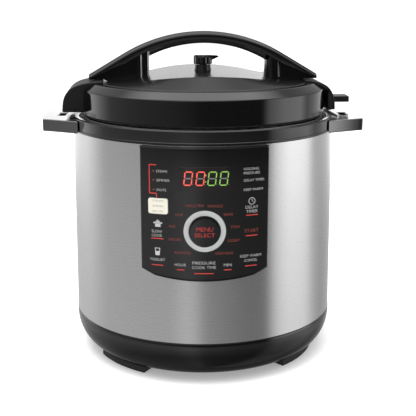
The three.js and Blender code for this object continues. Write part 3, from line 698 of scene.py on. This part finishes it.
def build_print():
    """Printed words, marks and icons of the film and the keys."""
    white = [("STEAM", -44.8, 251.8, 12.4, 2.7), ("SIMMER", -43.2, 241.8, 15, 2.7),
             ("SAUTE", -45.2, 231.1, 11.6, 2.7), ("HOLDING", 55, 254.2, 17.5, 2.7),
             ("PRESSURE", 55.6, 249.6, 19, 2.7), ("DELAY TIMER", 58.4, 241.6, 24, 2.7),
             ("KEEP WARM", 57.6, 231.1, 22.5, 2.7), ("DELAY", 56, 211.2, 15, 3.2),
             ("TIMER", 56, 206.4, 13.5, 3.2), ("SLOW", -51, 183.9, 12.2, 3.0),
             ("COOK", -51, 179.2, 12.2, 3.0), ("YOGURT", -50.7, 151.4, 18, 3.0),
             ("HOUR", -24.3, 146.8, 12.6, 3.1), ("PRESSURE", 2, 149.4, 25.7, 3.2),
             ("COOK TIME", 2, 144.2, 26.6, 3.2), ("MIN", 28.5, 146.6, 8.6, 3.1),
             ("KEEP WARM", 55.2, 155.5, 25, 3.0), ("/CANCEL", 55.2, 150.3, 16, 3.0)]
    piece("white_words", words(white), "base", "print_white")
    on_key = several(*[word(text, (KEY_LEFT + KEY_RIGHT) / 2, z, 12.5, 2.0) for text, z in
                       (("STEAM", 219.0), ("SIMMER", 213.0), ("SAUTE", 207.2))])
    piece("key_words", lifted(on_key, 1.5), "mode_button", "print_grey")
    dim = [("POULTRY", -7.9, 214.6, 19.7), ("PORRIDGE", 14.6, 214.2, 16.5), ("SOUP", -25.6, 204, 8.5),
           ("BEANS", 29, 204.5, 10.1), ("RICE", -33.2, 190.7, 7), ("STEW", 37, 189.9, 10.3),
           ("CHICKEN", -30.5, 175.9, 14.1), ("DESSERT", 35.4, 174.5, 13.7),
           ("POTATOES", -21.4, 160.8, 18), ("VEGETABLES", 24.3, 160.4, 20.2)]
    piece("dim_words", words([(*row, 2.9) for row in dim]), "base", "print_dim_red")
    piece("start_word", words([("START", 55.9, 184.5, 16.8, 3.8)]), "base", "print_dim_red")

    underlines = [(56.2, 202.2, 14), (55.9, 178.8, 14), (55.5, 143.9, 14), (-50.5, 175.7, 14.5),
                  (-50.7, 145, 14), (-24.3, 141.1, 8.6), (2, 137.2, 21.5), (28.5, 141, 8.6)]
    red = [line((a - w / 2 + PRINT_SHIFT, z), (a + w / 2 + PRINT_SHIFT, z), 1.0)
           for a, z, w in underlines]
    bracket_left, bracket_right = -59 + PRINT_SHIFT, -50.8 + PRINT_SHIFT
    top, low, foot = 258.7, 226.9, 222.6
    red += [line(p, q, 1.05) for p, q in (
        ((bracket_left, top), (bracket_left, low)), ((bracket_left, top), (bracket_right, top)),
        ((bracket_left, low), (bracket_right, low)), ((bracket_right, low), (bracket_right, foot)))]
    piece("red_marks", several(*red), "base", "print_red")
    lamps = [circle((-54.2 + PRINT_SHIFT, z), 0.45, 0.8) for z in (251.8, 241.8, 231.1)]
    piece("lamp_dots", several(*lamps), "base", "print_dim_red")

    clock_middle = (55.9 + PRINT_SHIFT, 218)
    clock = [circle(clock_middle, 3.7, 0.6),
             line(clock_middle, (55.9 + PRINT_SHIFT, 220.4), 0.5, 3),
             line(clock_middle, (57.7 + PRINT_SHIFT, 217.2), 0.5, 3)]
    pot_icon = [(-55, 193.6, -44.6, 193.6, 1.5), (-53, 190.8, -46.6, 190.8, 3.4),
                (-52.2, 195.4, -47.4, 195.4, 1.3), (-50.4, 196.8, -49.2, 196.8, 1.0)]
    glass_icon = [(-53.2, 164.6, -47.6, 164.6, 0.8), (-53.2, 164.8, -52.6, 156.6, 0.8),
                  (-47.8, 164.8, -48.4, 156.6, 0.8), (-50.5, 161.2, -50.5, 156.4, 4.2)]
    piece("white_icons", several(*clock, *bars(pot_icon + glass_icon)), "base", "print_white")

    menu = several(word("MENU", 0, RING_Z + 2.6, 18, 4.6), word("SELECT", 0, RING_Z - 4.0, 22, 4.4))
    piece("menu_words", lifted(menu, 1.62), "menu_button", "print_red")


def on_face(solid):
    """A turned solid laid on the panel, axis outwards: (x, y, z) becomes (arc, z - RING_Z, lift)."""
    points, faces = solid
    x, y, z = np.asarray(points, float).T
    return on_panel(x, y + RING_Z, z), faces


def dense(outline, step=1.5):
    """Closed outline with extra points, at most about a step apart, by linear interpolation."""
    outline = np.asarray(outline, float)
    loop = np.concatenate([outline, outline[:1]])
    run = np.concatenate([[0], np.cumsum(np.linalg.norm(np.diff(loop, axis=0), axis=1))])
    marks = np.unique(np.concatenate([run[:-1], np.arange(0, run[-1], step)]))
    return np.stack([np.interp(marks, run, loop[:, k]) for k in (0, 1)], -1)


def curved_tile(outline, low, high, edge=0.35):
    """Tile on the panel: its outline (arc, z) shrinks to its middle row by row, over a round rim."""
    outline = dense(outline)
    middle = outline.mean(0)
    steps = [(0.0, low), (0.6, low), (1.0, low), (1.0, high - edge),
             (1 - edge * 0.012, high - edge * 0.3), (1 - edge * 0.04, high), (0.8, high), (0.6, high),
             (0.4, high), (0.2, high), (0.0, high)]
    rows = np.stack([on_panel(*(middle + (outline - middle) * scale).T, lift)
                     for scale, lift in steps])
    return rows.reshape(-1, 3), grid_faces(len(rows), len(outline), wrap_columns=True)


# ---------------------------------------------------------------- lid
def crown_height(x, y):
    """Top of the crown: CROWN_Z - x^2 / (2 arch radius) inside the crease, then a straight slope."""
    x, y = np.asarray(x, float), np.asarray(y, float)
    r = np.maximum(np.hypot(x, y), 1e-6)
    crease_x = x * np.minimum(1, CROWN_CREASE_R / r)
    top = CROWN_Z - crease_x ** 2 / (2 * CROWN_ARCH_R)
    out = np.clip((r - CROWN_CREASE_R) / (CROWN_R - CROWN_CREASE_R), 0, 1)
    return top + (CROWN_RIM_Z - top) * out


def crown():
    """Round cover: rows out over the arched top, round its edge, down the wall and back underneath."""
    round_r = 1.3
    bend = np.linspace(0, np.pi / 2, 7)
    edge_r = CROWN_R - round_r + round_r * np.sin(bend)
    edge_drop = round_r * (1 - np.cos(bend))
    flat_r = np.concatenate([np.linspace(0, CROWN_CREASE_R - 1, 30),
                             [CROWN_CREASE_R, CROWN_CREASE_R + 1],
                             np.linspace(CROWN_CREASE_R + 4, CROWN_R - 1.6, 12)])
    top_r = np.concatenate([flat_r, edge_r])
    top_drop = np.concatenate([np.zeros(len(flat_r)), edge_drop])
    angle = np.linspace(0, 2 * np.pi, 240, endpoint=False)[None, :]

    def row(radius, drop):
        x, y = radius * np.cos(angle), radius * np.sin(angle)
        return np.stack([x, y, crown_height(x, y) - drop + 0 * x], -1)

    def level(radius, z):
        return np.stack([radius * np.cos(angle), radius * np.sin(angle), z + 0 * angle], -1)

    inner = CROWN_R - WALL
    under_r = np.linspace(inner, 0, 12)[:, None]
    over = row(top_r[:, None], top_drop[:, None])
    wall = [level(CROWN_R, CROWN_FOOT_Z + 0.5), level(CROWN_R - 0.5, CROWN_FOOT_Z),
            level(inner, CROWN_FOOT_Z)]
    under = row(under_r, np.full_like(under_r, WALL))
    under[..., 2] = np.maximum(under[..., 2] - 0.3, CROWN_FOOT_Z + 0.6)
    rows = np.concatenate([over, *wall, under])
    return rows.reshape(-1, 3), grid_faces(len(rows), rows.shape[1], wrap_columns=True)


def bezier(a, b, c, d, steps=20):
    """Cubic curve through a and d with b and c as its handles."""
    t = np.linspace(0, 1, steps)[:, None]
    a, b, c, d = (np.asarray(p, float) for p in (a, b, c, d))
    return (1 - t) ** 3 * a + 3 * t * (1 - t) ** 2 * b + 3 * t * t * (1 - t) * c + t ** 3 * d


def wing_outline(side, reach, inner, low=SKIRT_BOTTOM_Z + 2):
    """Side view of a wing: over the ledge, down in a cubic curve, and back along the skirt."""
    top = LEDGE_Z + 2.5
    start = 122
    curve = bezier((start, top), (reach - 11, top - 1.0), (reach + 0.5, top - 10), (reach, low))
    outline = np.concatenate([[(start, LEDGE_Z - 1)], curve, [(inner, low), (inner, SKIRT_TOP_Z - 3)]])
    return outline * (side, 1)


def build_lid():
    """Lid ring, crown, wings and tab."""
    floor = SKIRT_BOTTOM_Z + 0.8
    inner = SKIRT_R - WALL
    lip_z = SKIRT_BOTTOM_Z - 3.2
    ring = soft([(SKIRT_R - 3.0, lip_z), (SKIRT_R, SKIRT_BOTTOM_Z - 0.2), (SKIRT_R, SKIRT_TOP_Z),
                 (LEDGE_R, LEDGE_Z), (CROWN_R + 0.3, LEDGE_Z), (CROWN_R + 0.3, LEDGE_Z - WALL),
                 (LEDGE_R - 1, LEDGE_Z - WALL), (inner, SKIRT_TOP_Z - 1.6), (inner, floor + 2.5),
                 (112, floor + 2.5), (112, floor), (inner - 1.2, floor), (inner - 1.2, lip_z)],
                [0.4, 0.5, 1.2, 1.6, 0.4, 0.4] + 7 * [0.5])
    piece("lid_rim", turned(ring, 240), "lid", "gloss_black", replaces=["lid_ring"])
    piece("crown_cover", on_lid(crown()), "lid", "crown_black",
          replaces=["lid_crown"], holes=[at_float(bore(3.4, 300, 400)), bore(5, 300, 400, 40)])

    wing_half = 35
    left = slab(wing_outline(-1, 170.4, 143), -wing_half, wing_half)
    piece("wing_left_cover", on_lid(left), "lid", "wing_black",
          replaces=["lid_wing_left"], bevel=1.6)
    strap = slab(wing_outline(1, 154.6, SKIRT_R + 0.6), -wing_half, wing_half)
    piece("wing_right_strap", on_lid(strap), "lid", "satin_black", bevel=0.8)
    outer_strap = slab(wing_outline(1, 159.2, 150.2, SKIRT_BOTTOM_Z + 2.4), 1 - wing_half,
                       wing_half - 1)
    piece("wing_right_cover", on_lid(outer_strap), "lid", "wing_black",
          replaces=["lid_wing_right"], bevel=1.2)
    tab = block((146.5, 35.3, 301.9), (192.0, 61.3, 309.6))
    piece("tab_cover", on_lid(tab), "lid", "satin_black", replaces=["parking_tab"], bevel=1.0)


def build_under_lid():
    """Inner lid, seal and its holder, shield, steam pipe, the valve's seat and the float pin."""
    dish_r, hem_r = 138, 139.3
    dish = soft([(0, 296), (dish_r, 296), (dish_r, 287.5), (139.2, 287.5), (hem_r, 290),
                 (hem_r, 290.6), (hem_r, 297.5), (0, 297.5)],
                [0, 0.8, 0.3, 0.3, 0.3, 0.3, 1.2, 0], closed=False, steps=3)
    lugs = lugged(12, 5.0, lambda r, z: (r > 138.8) & (z < 290.2))
    piece("inner_lid", turned(dish, 360, lugs), "lid", "pot_steel", replaces=["steel_lid"],
          holes=[at_float(bore(3.3, 280, 310)), bore(4.3, 280, 310)])
    seal = soft([(129, 289), (131.5, 285.2), (135.4, 285.2), (137.6, 288), (137.6, 295.6),
                 (129, 295.6)], 1.2)
    piece("silicone_seal", turned(seal, 200), "seal", "silicone", replaces=["sealing_ring"])
    rack = soft([(126.6, 290), (128.6, 290), (128.6, 293), (126.6, 293)], 0.9)
    piece("seal_holder", turned(rack, 180), "lid", "pot_steel", replaces=["seal_rack"])
    shield = soft([(0, 282.6), (13, 282.6), (15, 284.6), (15, 295.6), (14, 295.6), (14, 285),
                   (12.6, 283.6), (0, 283.6)], 0.6, closed=False)
    piece("debris_shield", turned(shield, 96), "lid", "pot_steel", replaces=["pipe_shield"],
          holes=[block((-30, w - 1, 286), (30, w + 1, 293)) for w in (-8, -3, 3, 8)])
    pipe = soft([(1.6, 286), (6.5, 286), (6.5, 295.4), (4, 295.4), (4, 361), (1.6, 361)], 0.4)
    piece("steam_pipe", turned(pipe, 48), "lid", "brass_parts", replaces=["exhaust_pipe"])
    boss_low, boss_top = 345.5, 354.2
    boss = soft([(5.2, boss_low), (10.6, boss_low), (9.6, boss_top), (5.2, boss_top)], 0.7)
    piece("valve_seat", turned(boss, 96), "lid", "crown_black")
    pin_top = float(crown_height(FLOAT_X, FLOAT_Y)) - 0.5
    pin = soft([(0, 288.5), (5, 288.5), (5, 291.8), (2.6, 291.8), (2.6, pin_top), (0, pin_top)], 0.7,
               closed=False)
    piece("float_pin", at_float(turned(pin, 40)), "float", "float_red", replaces=["float_valve"])


def build_valve():
    """Pressure valve: a cap with shallow flutes and a flat lever with a pointed, slanted end."""
    low, top = VALVE_LOW_Z, VALVE_TOP_Z
    cap = soft([(0, 361.4), (4.4, 361.4), (4.4, low), (11.0, low), (11.5, low + 1), (11.5, top - 2.2),
                (9.6, top - 0.3), (0, top)], [0, 0.3, 0.3, 0.5, 0.5, 1.6, 1.6, 0], closed=False)

    def flutes(r, z, angle):
        """Eight flat-sided ribs round the wall: r - 0.9 (1 - |cos 4a|)."""
        return np.where(r > 9, r - 0.9 * (1 - np.abs(np.cos(4 * angle))), r), z

    lever = soft([(6, top - 0.6), (17.0, top - 0.9), (19.6, top - 2.0), (19.2, top - 3.0),
                  (11, top - 6.6), (6, top - 6.6)], 0.5, steps=2)
    piece("valve_cap", on_lid(turned(cap, 192, flutes)), "valve", "gloss_black",
          replaces=["pressure_valve"])
    piece("valve_lever", on_lid(slab(lever, -2.6, 2.6)), "valve", "gloss_black",
          bevel=0.5)


# ---------------------------------------------------------------- handle
def arch(top, radius, x):
    """Height of an arc with its highest point at top: top - R + sqrt(R^2 - x^2)."""
    return top - radius + np.sqrt(radius * radius - x * x)


def handle_top(x):
    """The handle's upper line: an arc to HANDLE_TOP_ANGLE on each side, then straight."""
    turn = math.radians(HANDLE_TOP_ANGLE)
    end = HANDLE_TOP_R * math.sin(turn)
    away = np.abs(np.asarray(x, float))
    straight = np.maximum(away - end, 0) * math.tan(turn)
    return arch(HANDLE_TOP_Z, HANDLE_TOP_R, np.minimum(away, end)) - straight


def handle_under(x):
    """The arch's lower line: an arc to ARCH_END_X, then straight down to the lid."""
    away = np.abs(np.asarray(x, float))
    bend = arch(ARCH_TOP_Z, ARCH_R, ARCH_END_X)
    straight = bend - (away - ARCH_END_X) / ARCH_FOOT_RUN * (bend - ARCH_FOOT_Z)
    curved = arch(ARCH_TOP_Z, ARCH_R, np.minimum(away, ARCH_END_X))
    return np.where(away < ARCH_END_X, curved, straight)


def seat(x):
    """Where the handle meets the crown, and further out the wings."""
    wing_x, wing_z = 120, 337.8
    x = np.asarray(x, float)
    return np.maximum(crown_height(x, 0) - 0.4, np.where(np.abs(x) > wing_x, wing_z, 0))


def arch_sections(x, low, high, half, corners):
    """Closed sections across the handle, one for each x.

    corners are (share of the half width, inset from the top) of the upper edge, so the same line
    of edge, groove and crown runs the whole length.
    """
    low, high = (np.asarray(v, float)[:, None] for v in (low, high))
    share = np.array([c[0] for c in corners])[None, :]
    inset = np.array([c[1] for c in corners])[None, :]
    full_depth = 8
    room = np.minimum(1, (high - low) / full_depth)
    right_y, right_z = half * share + 0 * low, high - inset * room
    foot_y = np.array([[0.97, 0.90]]) * half + 0 * low
    foot_z = np.concatenate([low + 0.6, low + 0.0], 1)
    y = np.concatenate([foot_y[:, ::-1], right_y, -right_y[:, ::-1], -foot_y], 1)
    z = np.concatenate([foot_z[:, ::-1], right_z, right_z[:, ::-1], foot_z], 1)
    return np.stack([np.broadcast_to(np.asarray(x)[:, None], y.shape), y, z], -1)


HANDLE_EDGE = [(1.0, 7.0), (1.0, 4.2), (0.985, 3.6), (0.955, 3.1), (0.86, 1.75), (0.82, 1.35),
               (0.80, 1.5), (0.785, 2.1), (0.765, 2.1), (0.75, 0.85), (0.72, 0.55), (0.45, 0.12),
               (0.1, 0.0)]
GRIP_EDGE = [(1.0, 4.0), (1.0, 0.6), (0.98, 0.2), (0.1, 0.0)]


def web(side, inner):
    """Plate that fills the corner between the arch's end and the lid."""
    x = np.linspace(inner, HANDLE_END_X - 3, 14)
    low = np.stack([x, seat(x)], -1)
    high = np.stack([x, np.maximum(handle_under(x) + 1.5, seat(x) + 0.4)], -1)[::-1]
    return slab(np.concatenate([low, high]) * (side, 1), -HANDLE_HALF + 4, HANDLE_HALF - 4)


def column(middle, half_x, half_y, power=2.6):
    """Upright post of superellipse section |x/a|^p + |y/b|^p = 1 from the lid up into the arch."""
    turn = np.linspace(0, 2 * np.pi, 64, endpoint=False)
    flat_x = half_x * np.sign(np.cos(turn)) * np.abs(np.cos(turn)) ** (2 / power)
    flat_y = half_y * np.sign(np.sin(turn)) * np.abs(np.sin(turn)) ** (2 / power)
    rise = np.linspace(0, 1, 12)[:, None]
    foot_spread = 0.05
    x = middle + flat_x[None, :] * (1 + foot_spread * (1 - rise))
    low = seat(x)
    high = handle_under(x) + 2
    return swept(np.stack([x, flat_y[None, :] + 0 * x, low + (high - low) * rise], -1))


def build_handle():
    """Arch with its edge groove, webs, posts, soft lower grip and end studs."""
    x = np.concatenate([np.linspace(-HANDLE_END_X, -100, 24), np.linspace(-98, 98, 99),
                        np.linspace(100, HANDLE_END_X, 24)])
    foot_x = 133
    low = np.where(np.abs(x) > foot_x, seat(x), handle_under(x))
    sections = arch_sections(x, low, handle_top(x), HANDLE_HALF, HANDLE_EDGE)
    piece("handle_arch", on_lid(swept(sections)), "lid", "gloss_black", replaces=["handle_shell"],
          crease=50)
    for side, label, inner in ((-1, "left", 70), (1, "right", 84)):
        piece(f"handle_web_{label}", on_lid(web(side, inner)), "lid", "gloss_black", bevel=0.8)
    piece("handle_post_right", on_lid(column(86.2, 10.2, 15.2)), "lid", "gloss_black")
    near, far = POST_LEFT_X, POST_LEFT_X - 14
    left_post = slab([(near, seat(near)), (far, seat(far)), (far, handle_under(far) + 2),
                      (near, handle_under(near) + 2)], -14, 14)
    piece("handle_post_left", on_lid(left_post), "lid", "gloss_black", bevel=0.8)
    # The two ribs on the left post are real parts. Their light grey silver_trim finish is partly
    # painted highlight: it stands for the bright lines the ribs catch against the dark post.
    ribs = several(*[column(middle, 1.1, 15.0, 4) for middle in (-67.1, -75.5)])
    piece("handle_ribs_painted_highlight", on_lid(ribs), "lid", "silver_trim")
    grip_x = np.linspace(POST_LEFT_X + 0.3, POST_RIGHT_X - 0.3, 60)
    grip = arch_sections(grip_x, arch(380.9, 149, grip_x), arch(385.0, ARCH_R, grip_x),
                         HANDLE_HALF - 0.6, GRIP_EDGE)
    piece("soft_grip", on_lid(swept(grip)), "lid", "satin_black", replaces=["handle_grip"], crease=50)

    stud = soft([(0, 0), (1.9, 0), (1.6, 0.8), (0, 1.2)], 0.5, closed=False)
    stud_x, stud_z, stud_root = 119.5, 344.6, 4.1
    points, faces = turned(stud, 24)
    a, b, c = points.T
    studs = several(*[(np.stack([a + x, -c - HANDLE_HALF + stud_root, b + stud_z], -1), faces)
                      for x in (-stud_x, stud_x)])
    piece("handle_studs", on_lid(studs), "lid", "gloss_black")


# ---------------------------------------------------------------- studio
# Brightness of the room by heading, from behind the object (0) by its left (0.25), the front (0.5)
# and its right (0.75) to behind it again. HORIZON is what stands round the object at its own height,
# ROOM is what lies above and below, and BELT blends them by the sine of the height, from -1 (0) to
# 1 (1). OVERHEAD is the one level of the ceiling, and CEILING blends it in by the same sine. GROUND
# dims what lies well below. BACKDROP is the brightness of the room seen directly.
FULL_LIGHT = 4.0
OVERHEAD = 0.55
BACKDROP = 1.05
ROOM = [(0.0, 0.10), (0.12, 0.13), (0.20, 0.155), (0.42, 0.18), (0.455, 0.25), (0.475, 0.24),
        (0.505, 0.13), (0.55, 0.105), (0.60, 0.080), (0.66, 0.070), (0.70, 0.20), (0.80, 0.20),
        (0.86, 0.08), (1.0, 0.10)]
HORIZON = [(0.0, 0.45), (0.017, 0.45), (0.024, 0.38), (0.06, 0.32), (0.165, 0.34), (0.20, 0.24),
           (0.235, 0.12), (0.44, 0.05), (0.49, 0.02), (0.655, 0.015), (0.675, 0.32), (0.72, 0.50),
           (0.78, 0.44), (0.81, 0.14), (0.90, 0.24), (0.976, 0.50), (0.983, 0.45), (1.0, 0.45)]
BELT = [(0.0, 0.0), (0.27, 0.0), (0.32, 0.18), (0.395, 0.15), (0.415, 1.0), (0.572, 1.0),
        (0.592, 0.0), (1.0, 0.0)]
CEILING = [(0.0, 0.0), (0.84, 0.0), (0.92, 1.0), (1.0, 1.0)]
GROUND = [(0.0, 0.30), (0.12, 0.30), (0.24, 0.70), (0.29, 1.0), (1.0, 1.0)]


def build_floor():
    """Pale, matt paper floor that stays out of the object's reflections."""
    half = 6.0
    mesh = bpy.data.meshes.new("floor")
    mesh.from_pydata([(-half, -half, 0), (half, -half, 0), (half, half, 0), (-half, half, 0)], [],
                     [(0, 1, 2, 3)])
    floor = bpy.data.objects.new("floor", mesh)
    floor.visible_glossy = False
    mesh.materials.append(finish("floor_paper", (0.90, 0.90, 0.90), 0.9, vary=0.01,
                                 Emission_Color=(1, 1, 1, 1), Emission_Strength=0.30))
    bpy.context.scene.collection.objects.link(floor)


def level_ramp(tree, place, stops, share):
    """Grey ramp through (position, level) pairs."""
    ramp = node(tree, "ShaderNodeValToRGB", place, Fac=share)
    marks = ramp.color_ramp.elements
    for stop in stops[1:-1]:
        marks.new(stop[0])
    for mark, (position, level) in zip(marks, stops):
        mark.position = position
        mark.color = (level, level, level, 1)
    return ramp.outputs["Color"]


def blend(tree, place, share, first, second):
    """Goes from the first level to the second by a share."""
    mix = node(tree, "ShaderNodeMix", place, data_type="FLOAT", Factor=share, A=first, B=second)
    return mix.outputs["Result"]


def build_room():
    """Bright room with darker and lighter bands."""
    world = bpy.data.worlds.new("studio")
    bpy.context.scene.world = world
    world.use_nodes = True
    tree = world.node_tree
    where = node(tree, "ShaderNodeTexCoord", (-1400, 0)).outputs["Generated"]
    split = node(tree, "ShaderNodeSeparateXYZ", (-1200, 0), Vector=where)
    toward = figure(tree, "MULTIPLY", (-1000, 100), split.outputs["Y"], -1)
    angle = figure(tree, "ARCTAN2", (-800, 100), split.outputs["X"], toward)
    heading = node(tree, "ShaderNodeMapRange", (-600, 100), Value=angle, From_Min=-math.pi,
                   From_Max=math.pi).outputs["Result"]
    rise = node(tree, "ShaderNodeMapRange", (-600, -200), Value=split.outputs["Z"], From_Min=-1,
                From_Max=1).outputs["Result"]
    belt = level_ramp(tree, (-400, -200), BELT, rise)
    room = level_ramp(tree, (-400, 100), ROOM, heading)
    horizon = level_ramp(tree, (-400, 350), HORIZON, heading)
    walls = blend(tree, (-200, 0), belt, room, horizon)
    roof = level_ramp(tree, (-400, -450), CEILING, rise)
    whole = blend(tree, (-150, -200), roof, walls, OVERHEAD)
    ground = level_ramp(tree, (-400, -650), GROUND, rise)
    light = figure(tree, "MULTIPLY", (-150, -500), ground, FULL_LIGHT)
    full = figure(tree, "MULTIPLY", (-100, 0), whole, light)
    seen = node(tree, "ShaderNodeLightPath", (-400, 400)).outputs["Is Camera Ray"]
    back = tree.nodes["Background"]
    back.inputs["Color"].default_value = (1, 1, 1, 1)
    tree.links.new(blend(tree, (0, 100), seen, full, BACKDROP), back.inputs["Strength"])


def build_light():
    """Soft square light overhead, aimed at the object and left out of its reflections."""
    place, aim = np.array((-0.3, -0.2, 2.2)), np.array((0, 0, 0.2))
    lamp = bpy.data.lights.new("light_top", "AREA")
    lamp.shape = "RECTANGLE"
    lamp.size = 1.6
    lamp.size_y = 1.6
    lamp.energy = 36
    made = bpy.data.objects.new("light_top", lamp)
    made.location = place
    run = aim - place
    made.rotation_euler = (math.atan2(math.hypot(run[0], run[1]), -run[2]), 0,
                           math.atan2(-run[0], run[1]))
    made.visible_glossy = False
    bpy.context.scene.collection.objects.link(made)


def build_camera():
    """Camera in front, a little above the lid, looking down."""
    lens = bpy.data.cameras.new("camera")
    lens.lens = 78.1
    lens.sensor_width = 36
    camera = bpy.data.objects.new("camera", lens)
    camera.location = (-0.01315, -1.11994, 0.4454)
    look_down = 13.7
    camera.rotation_euler = (math.radians(90 - look_down), 0, math.radians(-1))
    bpy.context.scene.collection.objects.link(camera)
    bpy.context.scene.camera = camera
    bpy.context.scene.view_settings.view_transform = "Standard"


def dress_nodes():
    """Gives every CAD node that stays in sight the finish of its material slot."""
    for part in frame["record"]["subparts"]:
        made = frame["nodes"][part["node"]]
        made.data.materials.clear()
        made.data.materials.append(FINISH[part["material_slot"]])


build_floor()
build_room()
build_light()
build_camera()
dress_nodes()
build_base()
build_inside()
build_panel()
build_digits()
build_print()
build_lid()
build_under_lid()
build_valve()
build_handle()
